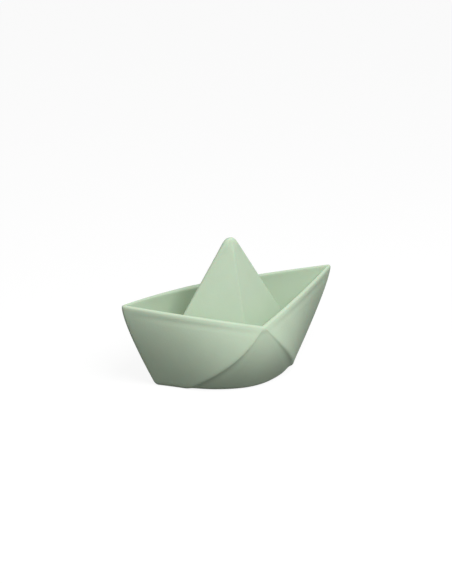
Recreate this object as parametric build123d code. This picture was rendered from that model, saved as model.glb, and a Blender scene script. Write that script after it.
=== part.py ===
from build123d import *
import math
import os

# A toy boat in the form of a folded paper boat, moulded in one piece from natural rubber.
# Frame: X runs along the boat, Y across it and Z up. The origin lies on the ground under the
# middle of the boat. All sizes are in millimetres.

# Hull, outside
boat_length = 140.0        # between the two tips
tip_height = 52.9          # top of the rim at the tips
beam = 77.3                # outside the walls at the two side corners
corner_height = 40.1       # top of the rim at the side corners
panel_swell = 0.019        # how far a side swells out, as a share of its own span
stem_round_foot = 2.4      # radius of the upright edge at each end, at the base
stem_round_top = 1.5       # the same at the tip
stem_bend_height = 42.0    # pull point of the end's line, upwards
stem_bend_reach = 69.9     # pull point of the end's line, along the boat
side_swell_height = 19.0   # pull point of the side's line, upwards
side_swell_offset = 43.0   # pull point of the side's line, across the boat

# Base
base_length = 95.6         # between the two ends of the flat base
base_width = 60.0          # across the middle of the flat base

# Fold lines, where the panels at the ends lie over the middle triangle of each side
fold_foot_reach = 35.7     # foot of a fold line, along the boat
fold_foot_offset = 14.4    # foot of a fold line, across the boat
fold_swell_reach = 19.5    # pull point of a fold line, along the boat
fold_swell_offset = 44.9   # pull point of a fold line, across the boat
fold_swell_height = 19.7   # pull point of a fold line, upwards
fold_head_reach = 1.2      # half the width of the triangle at its top
step_at_foot = 1.8         # depth of the triangle behind the panels at the base
step_at_head = 0.4         # the same at its top
step_draft = 0.3           # lean of the step, as a share of its depth

# Rim and well
wall = 2.7                 # thickness of the sides below the rim
rim_lip = 0.25             # how far the soft rim stands out past each face of the wall
rim_flat_turn = 30         # turn from one flat of the rim's rounded top to the next, in degrees
rim_skirt = 0.8            # straight part of the rim, below its rounded top
well_floor = 12.0          # height of the bottom of the well

# Sail, the four-sided peak
sail_height = 81.4         # top of the rounded peak
sail_foot_length = 112.0   # between its two side edges at ground level
sail_foot_width = 65.8     # between its front and back ridges at ground level
sail_point_height = 85.7   # where its straight edges would meet
sail_round = 2.5           # radius of its edges
sail_blunt = 3.2           # length of the small level top inside the rounded peak
sail_root = 2.0            # how far it goes down into the bottom of the well

rim_radius = wall / 2 + rim_lip
rim_low = corner_height - rim_radius
rim_slope = (tip_height - corner_height) / (boat_length / 2)

# Sections, each as its share of the way up from the base to the rim. The well's lowest section
# lies under its floor, and its highest stands clear of the rim.
hull_shares = (0, 0.25, 0.5, 0.75, 1)
well_shares = (0.2, 0.6, 1, 1.2)

# Falling lines of the hull, each as its top, its pull point and its foot
fold_head = (fold_head_reach, beam / 2, rim_low + rim_slope * fold_head_reach)
fold_pull = (fold_swell_reach, fold_swell_offset, fold_swell_height)
fold_line = (fold_head, fold_pull, (fold_foot_reach, fold_foot_offset, 0))
side_line = ((0, beam / 2, rim_low), (0, side_swell_offset, side_swell_height), (0, base_width / 2, 0))
stem_pull = (stem_bend_reach, 0, stem_bend_height)
stem_line = ((boat_length / 2, 0, tip_height), stem_pull, (base_length / 2, 0, 0))


def section_height(share, reach):
    """Height of a section of the hull at a reach: level at share 0, sloping like the rim at 1."""
    return share * (rim_low + rim_slope * reach)


def section_face(curves, share):
    """Section that is bounded by curves, each given by its poles, along and across the boat."""
    return Face(Wire([Bezier(*[(x, y, section_height(share, x)) for x, y in poles]) for poles in curves]))


def crossing(line, share):
    """Point where a falling line passes a section."""
    over = [point[2] - section_height(share, point[0]) for point in line]
    a = over[0] - 2 * over[1] + over[2]
    b = 2 * (over[1] - over[0])
    t = -over[0] / b
    if abs(a) > 1e-9:
        root = math.sqrt(b * b - 4 * a * over[0])
        t = min((-b - root) / (2 * a), (-b + root) / (2 * a), key=lambda value: abs(value - 0.5))
    pulls = ((1 - t) ** 2, 2 * t * (1 - t), t * t)
    return tuple(sum(pull * value for pull, value in zip(pulls, values)) for values in zip(*line))


def stem_round(share):
    """Radius of the upright edge of an end in a section."""
    return stem_round_foot + (stem_round_top - stem_round_foot) * share


def swollen(x1, y1, x2, y2):
    """Pull point of a curve between two points that swells away from the centre."""
    return (x1 + x2) / 2 + (y2 - y1) * 2 * panel_swell, (y1 + y2) / 2 + (x1 - x2) * 2 * panel_swell


def mirrored(curves):
    """The same curves on the other side of the boat, in the order that closes a wire."""
    return [[(x, -y) for x, y in reversed(poles)] for poles in reversed(curves)]


def hull_section(share):
    """Section through half of the hull: half of each triangle, two panels, and the stem."""
    radius = stem_round(share)
    centre = crossing(stem_line, share)[0] - radius
    fold_x, fold_y, _ = crossing(fold_line, share)
    pull_x, pull_y = swollen(centre, 0, fold_x, fold_y)
    lean = math.atan2(pull_y, centre - pull_x)
    stem_x = centre + radius * math.sin(lean)
    stem_y = radius * math.cos(lean)
    nose = 4 / 3 * math.tan(math.pi / 4 - lean / 2) * radius
    nose_x = stem_x + nose * math.cos(lean)
    nose_y = stem_y - nose * math.sin(lean)
    span = math.hypot(pull_x - fold_x, pull_y - fold_y)
    along_x = (pull_x - fold_x) / span
    along_y = (pull_y - fold_y) / span
    depth = step_at_foot + (step_at_head - step_at_foot) * share
    in_x = fold_x + depth * (along_y - step_draft * along_x)
    in_y = fold_y - depth * (along_x + step_draft * along_y)
    middle_y = crossing(side_line, share)[1]
    belly_y = crossing(side_line, section_height(share, in_x / 2) / rim_low)[1]
    middle = [(0, -middle_y), (0, middle_y)]
    belly = [(0, middle_y), (in_x / 2, belly_y), (in_x, in_y)]
    step = [(in_x, in_y), (fold_x, fold_y)]
    panel = [(fold_x, fold_y), (pull_x, pull_y), (stem_x, stem_y)]
    stem = [(stem_x, stem_y), (nose_x, nose_y), (nose_x, -nose_y), (stem_x, -stem_y)]
    return section_face([middle, belly, step, panel, stem, *mirrored([belly, step, panel])], share)


def wall_corners(share, depth):
    """Corners, at the end and at the side, of a section that lies a depth behind the outside."""
    reach = crossing(stem_line, share)[0]
    side = crossing(side_line, share)[1]
    lean = math.atan2(side, reach)
    sharp_reach = reach + stem_round(share) * (1 / math.sin(lean) - 1)
    return sharp_reach - depth / math.sin(lean), side - depth / math.cos(lean)


def well_section(share):
    """Section through half of the well that the sides enclose, straight up above the rim."""
    reach, offset = wall_corners(min(share, 1), wall)
    side = [(0, offset), swollen(reach, 0, 0, offset), (reach, 0)]
    return section_face([[(0, -offset), (0, offset)], side, *mirrored([side])], share)


def both_ends(half):
    """The whole of a form, from its half towards one end."""
    return half + mirror(half, about=Plane.YZ)


def below(height):
    """Everything under a height."""
    return Pos(0, 0, height - boat_length / 2) * Box(2 * boat_length, boat_length, boat_length)


def rim():
    """Soft rim on the four walls, its round top made of flats, turned at each tip and corner."""
    corner_y = wall_corners(1, wall / 2)[1]
    tip = Vector(boat_length / 2 - rim_radius, 0, tip_height)
    corner = Vector(0, corner_y, corner_height)
    pull_x, pull_y = swollen(tip.X, 0, 0, corner_y)
    middle = Vector((tip.X / 2 + pull_x) / 2, (corner_y / 2 + pull_y) / 2, (tip.Z + corner.Z) / 2)
    turns = [math.radians(90 - step * rim_flat_turn / 2) for step in (1, 3, 5)]
    top = [(rim_radius * math.cos(turn), rim_radius * (math.sin(turn) - 1)) for turn in turns]
    foot = -rim_radius - rim_skirt
    outline = [(0, top[0][1]), *top, (rim_radius, -rim_radius), (rim_radius, foot), (0, foot)]
    half = make_face(Polyline(*outline, close=True))
    section = half + mirror(half, about=Plane.YZ)
    knob = revolve(Plane.XZ * half, axis=Axis.Z)
    pieces = []
    for end in (1, -1):
        pieces.append(Pos(end * tip.X, 0, tip.Z) * knob)
        pieces.append(Pos(0, end * corner.Y, corner.Z) * knob)
        for side in (1, -1):
            line = ThreePointArc(*[(end * p.X, side * p.Y, p.Z) for p in (tip, middle, corner)])
            start = Plane(origin=line @ 0, x_dir=Vector(0, 0, 1).cross(line % 0), z_dir=line % 0)
            pieces.append(sweep(start * section, path=line))
    return pieces[0] + pieces[1:]


def sail_corners(height):
    """Corners of the pyramid that lies one edge radius inside the sail, at a height."""
    share = height / (sail_height - sail_round)
    half_length = sail_foot_length / 2
    half_width = sail_foot_width / 2
    foot_x = half_length - sail_round * math.hypot(1, half_length / sail_point_height)
    foot_y = half_width - sail_round * math.hypot(1, half_width / sail_point_height)
    x = foot_x * (1 - share) + sail_blunt / 2 * share
    y = x * foot_y / foot_x
    return [(x, 0, height), (0, -y, height), (-x, 0, height), (0, y, height)]


def sail():
    """Four-sided peak with soft edges, from inside the base up to its rounded top."""
    bottom = well_floor - sail_root
    low = sail_corners(bottom)
    high = sail_corners(sail_height - sail_round)
    sides = [(low[i], low[(i + 1) % 4], high[(i + 1) % 4], high[i]) for i in range(4)]
    core = Solid(Shell([Face(Wire.make_polygon(corners)) for corners in [low, high, *sides]]))
    soft = offset(core, amount=sail_round, kind=Kind.ARC)
    return soft - below(bottom)


hull = both_ends(loft([hull_section(share) for share in hull_shares]))
well = both_ends(loft([well_section(share) for share in well_shares])) - below(well_floor)
boat = hull - well + rim() + sail()

os.makedirs("parts", exist_ok=True)
export_step(boat, "parts/boat.step")
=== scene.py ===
import math

import bmesh
import bpy
from mathutils import Matrix, Vector


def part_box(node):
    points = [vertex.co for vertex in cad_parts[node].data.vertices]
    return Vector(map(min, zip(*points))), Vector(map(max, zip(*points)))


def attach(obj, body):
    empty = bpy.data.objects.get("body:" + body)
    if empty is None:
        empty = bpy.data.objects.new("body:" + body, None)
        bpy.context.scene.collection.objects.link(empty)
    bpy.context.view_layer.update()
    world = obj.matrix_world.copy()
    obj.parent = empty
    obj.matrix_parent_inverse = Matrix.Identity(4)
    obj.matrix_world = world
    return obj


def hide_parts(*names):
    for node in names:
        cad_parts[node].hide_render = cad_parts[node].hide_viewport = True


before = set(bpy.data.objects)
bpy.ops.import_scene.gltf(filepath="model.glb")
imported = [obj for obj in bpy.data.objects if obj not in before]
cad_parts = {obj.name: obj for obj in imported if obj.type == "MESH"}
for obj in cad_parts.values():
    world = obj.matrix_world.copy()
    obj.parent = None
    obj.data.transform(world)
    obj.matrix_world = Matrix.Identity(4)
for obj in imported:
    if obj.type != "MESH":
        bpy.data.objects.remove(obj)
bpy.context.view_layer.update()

# The boat is one thick-walled moulding of natural rubber in the form of a folded paper boat.
# Four swollen panels lie over a triangle on each side, a soft rim runs round the open well, and
# a four-sided peak stands in it. Lengths are in metres.
far_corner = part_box("boat")[1]
tip = Vector((far_corner.x, 0, 0.0529))  # top of the rim at an end
corner_height = 0.0401                   # top of the rim at the middle of a side
beam_reach = 0.03865                     # outside of the wall there, across the boat
panel_swell = 0.019                      # how far a panel swells out, as a share of its span
stem_round_foot = 0.0024                 # radius of the upright edge at each end, at the base
stem_round_top = 0.0013                  # the same at the rim
base_round = 0.0012                      # rounding of the base's edge

# Step from the panels down to the triangle, which runs out under the rim
step_at_foot = 0.0018                    # its depth at the base
step_at_head = 0.0005                    # its depth at the rim, if it didn't run out
step_lean = 0.6                          # slope of its face, as a share of its depth
step_end = 0.97                          # level at which it would be gone
step_fade = 0.1                          # rise in level over which it runs out
step_least = 0.3                         # share of its depth that stays
fold_softness = 0.0042                   # rounding of the panel's edge
root_softness = 0.0056                   # rounding at the triangle's edge
root_share = 0.26                        # the most of the triangle's line that this takes up

# Rim and well
wall = 0.0027                            # thickness at the sides
tip_wall = 0.0026                        # thickness at the ends, along the boat
rim_lip = 0.00032                        # how far the rim stands out past the wall
rim_groove = 0.0001                      # depth of the groove under the rim
rim_round = wall / 2
rim_low = corner_height - rim_round
rim_slope = (tip.z - corner_height) / tip.x
well_floor = 0.012                       # height of the bottom of the well

# Peak
peak_height = far_corner.z
peak_foot = (0.056, 0.0306)              # half its foot at ground level, along and across
peak_point = 0.0857                      # where its straight edges would meet
ridge_round = 0.0011                     # rounding of its two end edges
front_ridge_round = 0.0005               # rounding of its front and back ridges
ridge_end = 0.071                        # height from which they round off into the top
top_gap = 0.00003                        # how far the last row lies under the top

# Lines that fall from the rim to the ground, each as its top, its pull point and its foot
stem_line = (tip, Vector((0.0699, 0, 0.042)), Vector((0.0478, 0, 0)))
fold_line = (
    Vector((0.0012, beam_reach, 0.0387)),
    Vector((0.0195, 0.0449, 0.0197)),
    Vector((0.0357, 0.0144, 0)),
)
side_line = (Vector((0, beam_reach, 0.0385)), Vector((0, 0.043, 0.019)), Vector((0, 0.030, 0)))

# Stations round a quarter of the boat, from the end to the middle of a side: the part of the
# hull that each lies on, with its share of the way along that part, then its share of the way
# along the peak, the turn of its place on a rounded edge, and what it has of lip and groove
stations = [
    ("stem", 0), ("stem", 0.5), ("panel", 0), ("panel", 0.08), ("panel", 0.22), ("panel", 0.4),
    ("panel", 0.58), ("panel", 0.75), ("panel", 0.88), ("edge", 0), ("panel", 1), ("belly", 0),
    ("root", 0), ("belly", 0.35), ("belly", 0.7), ("belly", 1),
]
peak_share = [0, 0, 0, 0.08, 0.2, 0.35, 0.5, 0.64, 0.76, 0.85, 0.91, 0.95, 0.98, 1, 1, 1]
round_turn = [math.radians(angle) for angle in (0, 22.5, *[45] * 12, 67.5, 90)]
lip_share = [0, 0, 0, 0.3, 0.7, 1, 1, 1, 1, 1, 1, 1, 1, 1, 1, 1]
groove_share = [0, 0, 0, 0.5, 0.9, 1, 1, 0.8, 0.5, 0.3, 0.1, 0, 0, 0, 0, 0]

# Rows of the mesh, from the base up the hull and over the rim, down the well and up the peak
base_shares = (0.55, 0.8)
base_insets = ((1.9, 0), (1, 0), (0.3, 0.3))  # inwards and upwards, as shares of base_round
hull_levels = (0.031, 0.08, 0.15, 0.23, 0.31, 0.4, 0.49, 0.58, 0.67, 0.75, 0.82, 0.87)
groove_levels = ((0.89, 0, 0.5), (0.925, 0, 1), (0.95, 0.35, 0.5), (0.975, 1, 0))
rim_angles = range(0, 181, 30)
well_rises = (0.95, 0.88, 0.76, 0.62, 0.48, 0.34, 0.22, 0.12, 0.04)
peak_heights = (
    0.0125, 0.015, 0.020, 0.028, 0.037, 0.046, 0.055, 0.063, 0.069, 0.0725, 0.0752, 0.0774,
    0.079, 0.0801, 0.0808, 0.08122, peak_height - top_gap,
)


def along(line, share):
    """Point at a share of the way along a bent line."""
    start, pull, end = line
    return start.lerp(pull, share).lerp(pull.lerp(end, share), share)


def section_height(level, reach):
    """Height of a level of the hull at a reach: 0 is the ground, and 1 slopes like the rim."""
    return level * (rim_low + rim_slope * reach)


def crossing(line, level):
    """Point where a falling line passes a level of the hull."""
    over = [point.z - section_height(level, point.x) for point in line]
    a = over[0] - 2 * over[1] + over[2]
    b = 2 * (over[1] - over[0])
    root = math.sqrt(b * b - 4 * a * over[0])
    shares = ((-b - root) / (2 * a), (-b + root) / (2 * a))
    return along(line, min(shares, key=lambda share: abs(share - 0.5)))


def swollen(start, end):
    """Line between two points of a level that swells away from the middle of the boat."""
    across = end - start
    pull = (start + end) / 2 + Vector((across.y, -across.x)) * 2 * panel_swell
    return start, pull, end


def placed(point, level):
    """Point of a level with its height."""
    return Vector((point.x, point.y, section_height(level, point.x)))


def hull_point(part, share, level):
    """Point on the outside of the hull at a level."""
    radius = stem_round_foot + (stem_round_top - stem_round_foot) * level
    centre = crossing(stem_line, level).xy - Vector((radius, 0))
    fold = crossing(fold_line, level).xy
    pull = swollen(centre, fold)[1]
    turn = math.pi / 2 - math.atan2(pull.y, centre.x - pull.x)
    if part == "stem":
        outwards = Vector((math.cos(turn * share), math.sin(turn * share)))
        return placed(centre + radius * outwards, level)
    stem = centre + radius * Vector((math.cos(turn), math.sin(turn)))
    if part == "edge":
        share = 1 - fold_softness / (fold - stem).length
    if part in ("panel", "edge"):
        return placed(along((stem, pull, fold), share), level)
    depth = step_at_foot + (step_at_head - step_at_foot) * level
    depth *= min(max((step_end - level) / step_fade, step_least), 1)
    run = (pull - fold).normalized()
    inner = fold + depth * (Vector((run.y, -run.x)) - step_lean * run)
    side_level = section_height(level, inner.x / 2) / rim_low
    side_pull = Vector((inner.x / 2, crossing(side_line, side_level).y))
    if part == "root":
        share = min(root_softness / inner.x, root_share)
    return placed(along((inner, side_pull, crossing(side_line, level).xy), share), level)


def hull_row(level):
    """Quarter row on the outside of the hull."""
    return [hull_point(part, share, level) for part, share in stations]


def wall_point(share, level):
    """Point on the inside of the wall at a level, from 0 at the end to 1 at the side."""
    side = crossing(side_line, level).y
    reach = crossing(stem_line, level).x
    lean = math.atan2(side, reach)
    curve = swollen(Vector((reach - tip_wall, 0)), Vector((0, side - wall / math.cos(lean))))
    return along(curve, share)


outer = hull_row(1)
wall_share = [1 - point.x / outer[0].x for point in outer]


def inside_row(rise):
    """Quarter row on the inside of the wall, from 0 at the floor of the well to 1 at the rim."""
    points = []
    for point, on_wall, on_peak in zip(outer, wall_share, peak_share):
        height = well_floor + (point.z - well_floor) * rise
        place = wall_point(on_wall + (on_peak - on_wall) * (1 - rise), height / point.z)
        points.append(Vector((place.x, place.y, height)))
    return points


inner = inside_row(1)
out = [(a - b).normalized() for a, b in zip(outer, inner)]


def groove_row(level, lean, sink):
    """Quarter row under the rim, with its shares of the lip's and the groove's full depth."""
    points = []
    for point, away, lip, groove in zip(hull_row(level), out, lip_share, groove_share):
        points.append(point + away * (rim_lip * lip * lean - rim_groove * groove * sink))
    return points


def rim_row(angle):
    """Quarter row over the rim, from its outer side at 0 to its inner side at 180 degrees."""
    across = math.cos(math.radians(angle))
    rise = Vector((0, 0, rim_round * math.sin(math.radians(angle))))
    points = []
    for a, b, away, lip in zip(outer, inner, out, lip_share):
        half = (a - b).length / 2 + rim_lip * lip * max(across, 0)
        points.append((a + b) / 2 + away * half * across + rise)
    return points


def peak_half(foot, height):
    """Half width of the peak at a height: a straight edge, then a round over the top."""
    slope = foot / peak_point
    sine = slope / math.hypot(1, slope)
    radius = (peak_point - peak_height) * sine / (1 - sine)
    above = height - (peak_height - radius)
    if above > radius * sine:
        return math.sqrt(radius ** 2 - above ** 2)
    return foot - slope * height


def peak_row(height):
    """Quarter row on the peak: a four-sided section whose corners soften towards the top."""
    reach, side = (peak_half(foot, height) for foot in peak_foot)
    fade = min(max((height - ridge_end) / (peak_height - ridge_end), 0), 1) ** 2
    end_round = min(ridge_round * reach / side ** 2 + fade, 1)
    front_round = min(front_ridge_round * side / reach ** 2 + fade, 1)
    points = []
    for share, turn in zip(peak_share, round_turn):
        round_off = end_round + (front_round - end_round) * share
        x = (1 - end_round) * (1 - share) + round_off * math.cos(turn)
        y = (1 - front_round) * share + round_off * math.sin(turn)
        points.append(Vector((reach * x, side * y, height)))
    return points


def base_row(inset, rise):
    """Quarter row at the rounded edge of the base, this far inwards and upwards."""
    return [point * (1 - inset / point.length) + Vector((0, 0, rise)) for point in hull_row(0)]


def floor_row():
    """Quarter row on the floor of the well, half-way from the wall to the peak."""
    points = []
    for a, b in zip(inside_row(well_rises[-1]), peak_row(well_floor)):
        points.append(Vector(((a.x + b.x) / 2, (a.y + b.y) / 2, well_floor)))
    return points


def round_the_boat(quarter):
    """The whole ring of a row, from a quarter of it."""
    back = [Vector((-p.x, p.y, p.z)) for p in quarter[:-1]][::-1]
    half = quarter + back
    return half + [Vector((p.x, -p.y, p.z)) for p in half[1:-1]][::-1]


rows = [[point * share for point in hull_row(0)] for share in base_shares]
rows += [base_row(base_round * inset, base_round * rise) for inset, rise in base_insets]
rows += [hull_row(level) for level in hull_levels]
rows += [groove_row(level, lean, sink) for level, lean, sink in groove_levels]
rows += [rim_row(angle) for angle in rim_angles]
rows += [inside_row(rise) for rise in well_rises]
rows += [floor_row()]
rows += [peak_row(height) for height in peak_heights]

# A disc in the base is extruded row by row, and each row is set to its place
ring = round_the_boat(rows[0])
bpy.ops.object.select_all(action="DESELECT")
bpy.ops.mesh.primitive_circle_add(vertices=len(ring), radius=base_round, fill_type="NGON")
boat = bpy.context.object
boat.name = "rubber_boat"
bpy.ops.object.mode_set(mode="EDIT")
shape = bmesh.from_edit_mesh(boat.data)
station = shape.verts.layers.int.new("station")
shape.verts.ensure_lookup_table()
for index, vert in enumerate(shape.verts):
    vert[station] = index
    vert.co = ring[index]
bmesh.update_edit_mesh(boat.data)
for row in rows[1:]:
    bpy.ops.mesh.select_mode(type="FACE")
    bpy.ops.mesh.extrude_region_move()
    ring = round_the_boat(row)
    shape = bmesh.from_edit_mesh(boat.data)
    station = shape.verts.layers.int["station"]
    for vert in shape.verts:
        if vert.select:
            vert.co = ring[vert[station]]
    bmesh.update_edit_mesh(boat.data)
bpy.ops.mesh.select_all(action="SELECT")
bpy.ops.mesh.normals_make_consistent(inside=False)
bpy.ops.object.mode_set(mode="OBJECT")
smooth = boat.modifiers.new("smooth", "SUBSURF")
smooth.levels = smooth.render_levels = 2
bpy.ops.object.modifier_apply(modifier=smooth.name)
bpy.ops.object.shade_smooth()


def linear(code):
    """Linear colour of an sRGB hex code."""
    shades = [int(code[i:i + 2], 16) / 255 for i in (1, 3, 5)]
    return [c / 12.92 if c <= 0.04045 else ((c + 0.055) / 1.055) ** 2.4 for c in shades] + [1]


def add_node(tree, kind, settings=(), inputs=(), links=()):
    """Adds a node with its settings, and its inputs' values and links, by name or number."""
    node = tree.nodes.new(kind)
    for name, value in dict(settings).items():
        setattr(node, name, value)
    for name, value in dict(inputs).items():
        node.inputs[name].default_value = value
    for name, socket in dict(links).items():
        tree.links.new(socket, node.inputs[name])
    return node


# Natural rubber, moulded and tinted right through: a matt, faintly cloudy, powdery skin. The
# clouds are about 17 mm wide, so 60 to the metre. The grain of the skin is finer than 0.1 mm, and
# is drawn about 1 mm wide, 900 to the metre, so that it shows.
rubber = bpy.data.materials.new("mint_natural_rubber")
rubber.use_nodes = True
tree = rubber.node_tree
tree.nodes.clear()
place = add_node(tree, "ShaderNodeTexCoord").outputs["Object"]
cloud = add_node(tree, "ShaderNodeTexNoise",
                 inputs={"Scale": 60, "Detail": 3}, links={"Vector": place})
tint = add_node(tree, "ShaderNodeMix",
                settings={"data_type": "RGBA"}, links={"Factor": cloud.outputs["Fac"]})
tint.inputs["A"].default_value = linear("#B8CAB1")
tint.inputs["B"].default_value = linear("#C1D3BB")
skin = add_node(tree, "ShaderNodeTexNoise",
                inputs={"Scale": 900, "Detail": 4}, links={"Vector": place})
bump = add_node(tree, "ShaderNodeBump",
                inputs={"Strength": 0.15, "Distance": 0.0003},
                links={"Height": skin.outputs["Fac"]})
surface = add_node(tree, "ShaderNodeBsdfPrincipled",
                   inputs={"Roughness": 0.8, "IOR": 1.52,
                           "Subsurface Weight": 0.15, "Subsurface Scale": 0.002},
                   links={"Base Color": tint.outputs["Result"], "Normal": bump.outputs["Normal"]})
add_node(tree, "ShaderNodeOutputMaterial", links={"Surface": surface.outputs["BSDF"]})
boat.data.materials.append(rubber)
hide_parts("boat")
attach(boat, "root")


def seen_itself(tree):
    """Factor that is 1 where the camera, a gloss or a clear piece looks, and 0 for light."""
    ray = add_node(tree, "ShaderNodeLightPath").outputs
    mirrored = add_node(tree, "ShaderNodeMath", settings={"operation": "MAXIMUM"},
                        links={0: ray["Is Glossy Ray"], 1: ray["Is Transmission Ray"]})
    shown = add_node(tree, "ShaderNodeMath", settings={"operation": "MAXIMUM"},
                     links={0: ray["Is Camera Ray"], 1: mirrored.outputs[0]})
    return shown.outputs[0]


# The floor is a plain white sheet of backdrop paper, laid flat under the boat. It glows where it
# is looked at, so that it shows white and keeps the boat's soft shadow, and sheds no extra light.
bpy.ops.object.select_all(action="DESELECT")
bpy.ops.mesh.primitive_plane_add(size=60)
floor = bpy.context.object
floor.name = "floor"
paper = bpy.data.materials.new("white_backdrop_paper")
paper.use_nodes = True
tree = paper.node_tree
tree.nodes.clear()
matt = add_node(tree, "ShaderNodeBsdfDiffuse", inputs={"Color": linear("#666666")})
glow = add_node(tree, "ShaderNodeEmission", inputs={"Color": linear("#FFFFFF"), "Strength": 0.90})
lit = add_node(tree, "ShaderNodeAddShader", links={0: matt.outputs[0], 1: glow.outputs[0]})
seen = add_node(tree, "ShaderNodeMixShader",
                links={"Fac": seen_itself(tree), 1: matt.outputs[0], 2: lit.outputs[0]})
add_node(tree, "ShaderNodeOutputMaterial", links={"Surface": seen.outputs[0]})
floor.data.materials.append(paper)

# The light is a white room, dim but seen as plain white, and one large soft lamp, high in front
# of the boat and close to it, so that its light falls off towards the lower hull.
world = bpy.data.worlds.new("white_room")
bpy.context.scene.world = world
world.use_nodes = True
tree = world.node_tree
tree.nodes.clear()
dim = add_node(tree, "ShaderNodeBackground", inputs={"Color": linear("#FFFFFF"), "Strength": 0.34})
white = add_node(tree, "ShaderNodeBackground", inputs={"Color": linear("#FFFFFF"), "Strength": 1})
room = add_node(tree, "ShaderNodeMixShader",
                links={"Fac": seen_itself(tree), 1: dim.outputs[0], 2: white.outputs[0]})
add_node(tree, "ShaderNodeOutputWorld", links={"Surface": room.outputs[0]})

lamp_aim = Vector((0, 0, 0.04))
bpy.ops.object.light_add(type="AREA", location=(-0.015, -0.35, 0.51))
lamp = bpy.context.object
lamp.name = "soft_lamp"
lamp.data.shape = "DISK"
lamp.data.size = 0.42
lamp.data.energy = 3.36
lamp.rotation_euler = (lamp_aim - lamp.location).to_track_quat("-Z", "Y").to_euler()

# The camera has a long lens and looks from the front left and above, as in the photograph
camera_place = Matrix.Translation((-0.606266, -0.988397, 0.494418))
camera_turn = Matrix.Rotation(math.radians(-31.443), 4, "Z")
camera_tilt = Matrix.Rotation(math.radians(90 - 21.053), 4, "X")
camera_roll = Matrix.Rotation(math.radians(1.097), 4, "Z")
bpy.ops.object.camera_add()
camera = bpy.context.object
camera.data.lens = 133.196
camera.data.sensor_width = 36
camera.matrix_world = camera_place @ camera_turn @ camera_tilt @ camera_roll
bpy.context.scene.camera = camera
bpy.context.scene.view_settings.view_transform = "Standard"
